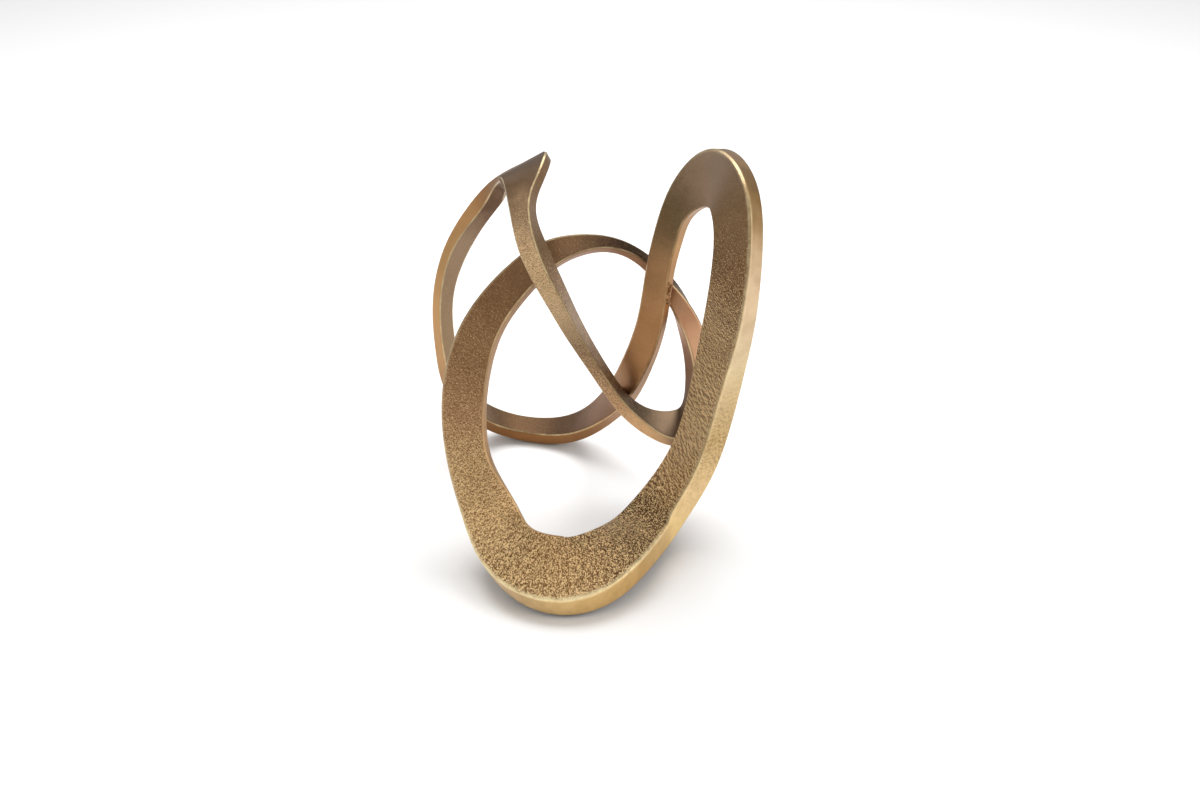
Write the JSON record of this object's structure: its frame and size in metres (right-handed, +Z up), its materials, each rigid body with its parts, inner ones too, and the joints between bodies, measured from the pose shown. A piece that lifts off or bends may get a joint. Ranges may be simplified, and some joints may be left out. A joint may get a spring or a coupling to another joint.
{
  "type": "metal knot sculpture",
  "caption": "Abstract table sculpture: one flat metal band, wide in places and narrow in others, twisted and bent into a closed knot that stands on two low bends.",
  "frame": {"origin": "on the surface it stands on, under the middle of its outline seen from above", "axes": "+Z up, +X to the viewer's right and +Y away from the viewer of the front loop"},
  "size_m": [0.2072, 0.2342, 0.2726],
  "materials": {
    "front_brass": "cast, brushed and patinated",
    "arch_brass": "cast, brushed and patinated",
    "lobe_brass": "cast, brushed and patinated",
    "peak_brass": "cast, brushed and patinated",
    "ring_brass": "cast, brushed and patinated",
    "pin_brass": "drawn rod, bright",
    "weld_brass": "rough weld metal",
    "foot_rubber": "matt"
  },
  "bodies": {
    "root": {"front_loop": "front_brass", "back_arch": "arch_brass", "right_lobe": "lobe_brass", "peak_loop": "peak_brass", "rear_ring": "ring_brass", "pin_leg": "pin_brass", "pin_rise": "pin_brass", "pin_arch": "pin_brass", "pin_lobe": "pin_brass", "pin_fall": "pin_brass", "weld_arch": "weld_brass", "weld_leg": "weld_brass", "weld_ring": "weld_brass", "foot_front_left": "foot_rubber", "foot_front_right": "foot_rubber", "foot_rear_left": "foot_rubber", "foot_rear_right": "foot_rubber"}
  },
  "joints": []
}
